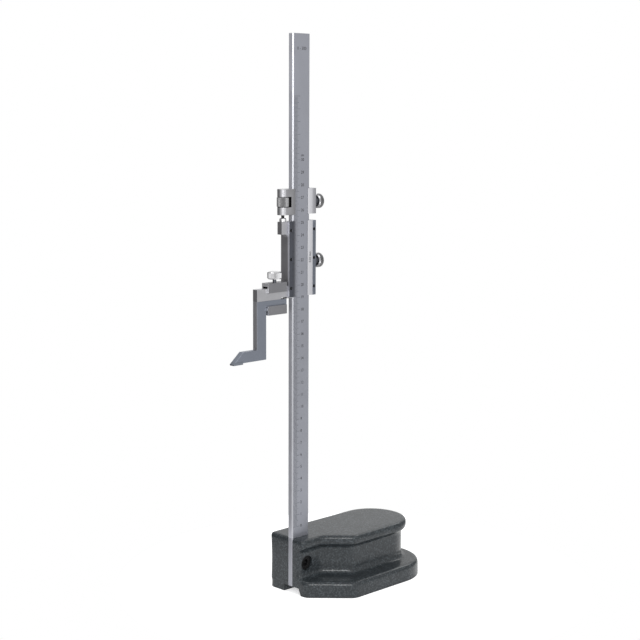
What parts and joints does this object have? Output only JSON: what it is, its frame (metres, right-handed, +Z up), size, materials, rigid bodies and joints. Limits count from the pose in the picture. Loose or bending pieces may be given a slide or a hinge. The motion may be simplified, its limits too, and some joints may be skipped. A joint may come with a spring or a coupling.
{
  "type": "vernier height gauge",
  "caption": "Bench height gauge: a heavy cast base holds an upright scale beam, on which a vernier slider with a fine-adjust carriage and a clamped scriber moves up and down.",
  "frame": {"origin": "centre of the foot's outline on the datum plane, the ground underside of the base", "axes": "+Z up along the beam; +X along the base, away from the beam; -Y is the side that the scale faces"},
  "size_m": [0.1906, 0.0728, 0.4545],
  "materials": {
    "base_enamel": "hammered grey enamel on cast iron",
    "black_steel": "black oxide",
    "dark_steel": "dark oiled",
    "brass": "machined",
    "satin_steel": "satin chrome with engraved scale",
    "ground_steel": "ground",
    "satin_plate": "satin",
    "knurled_steel": "knurled satin",
    "bright_steel": "polished",
    "scriber_steel": "ground",
    "hard_tip": "ground carbide"
  },
  "bodies": {
    "base": {"base_casting": "base_enamel", "beam_lock_screw": "black_steel", "beam_lock_pad": "brass", "beam": "satin_steel"},
    "carriage": {"carriage_frame": "ground_steel", "carriage_gib": "brass", "carriage_clamp_pad": "brass"},
    "carriage_knob": {"carriage_clamp_knob": "knurled_steel"},
    "feed_nut": {"feed_nut": "knurled_steel"},
    "slider": {"slider_frame": "ground_steel", "vernier_plate": "satin_plate", "cover_plate": "satin_plate", "vernier_plate_screws": "black_steel", "cover_plate_screws": "black_steel", "slider_gib": "brass", "slider_clamp_pad": "brass", "feed_screw": "dark_steel", "feed_lock_nut": "bright_steel"},
    "slider_knob": {"slider_clamp_knob": "knurled_steel"},
    "scriber_clamp": {"scriber_clamp": "ground_steel", "scriber_clamp_shoe": "dark_steel"},
    "scriber_knob": {"scriber_clamp_screw": "bright_steel"},
    "scriber": {"scriber": "scriber_steel", "scriber_tip": "hard_tip"}
  },
  "joints": [
    {"name": "carriage_travel", "type": "slide", "parent": "base", "child": "carriage", "axis": [0, 0, 1], "range_m": [-0.1943, 0.0997]},
    {"name": "fine_feed", "type": "slide", "parent": "carriage", "child": "slider", "axis": [0, 0, 1], "range_m": [-0.004, 0.002]},
    {"name": "feed_nut_turn", "type": "hinge", "parent": "carriage", "child": "feed_nut", "pos_m": [-0.0726, 0.01077, 0.323], "axis": [0, 0, 1], "range_deg": [-1440, 2880]},
    {"name": "carriage_knob_turn", "type": "hinge", "parent": "carriage", "child": "carriage_knob", "pos_m": [-0.034, 0.0109, 0.3224], "axis": [1, 0, 0], "range_deg": [-360, 90]},
    {"name": "slider_knob_turn", "type": "hinge", "parent": "slider", "child": "slider_knob", "pos_m": [-0.034, 0.0109, 0.2744], "axis": [1, 0, 0], "range_deg": [-360, 90]},
    {"name": "scriber_clamp_slide", "type": "slide", "parent": "slider", "child": "scriber_clamp", "axis": [-1, 0, 0], "range_m": [-0.001, 0.01]},
    {"name": "scriber_slide", "type": "slide", "parent": "scriber_clamp", "child": "scriber", "axis": [-1, 0, 0], "range_m": [0, 0.012]},
    {"name": "scriber_knob_turn", "type": "hinge", "parent": "scriber_clamp", "child": "scriber_knob", "pos_m": [-0.08155, 0.01077, 0.265], "axis": [0, 0, 1], "range_deg": [-90, 720]}
  ],
  "couplings": [
    {"joint": "feed_nut_turn", "follows": "fine_feed", "rad_per_m": -12566}
  ]
}
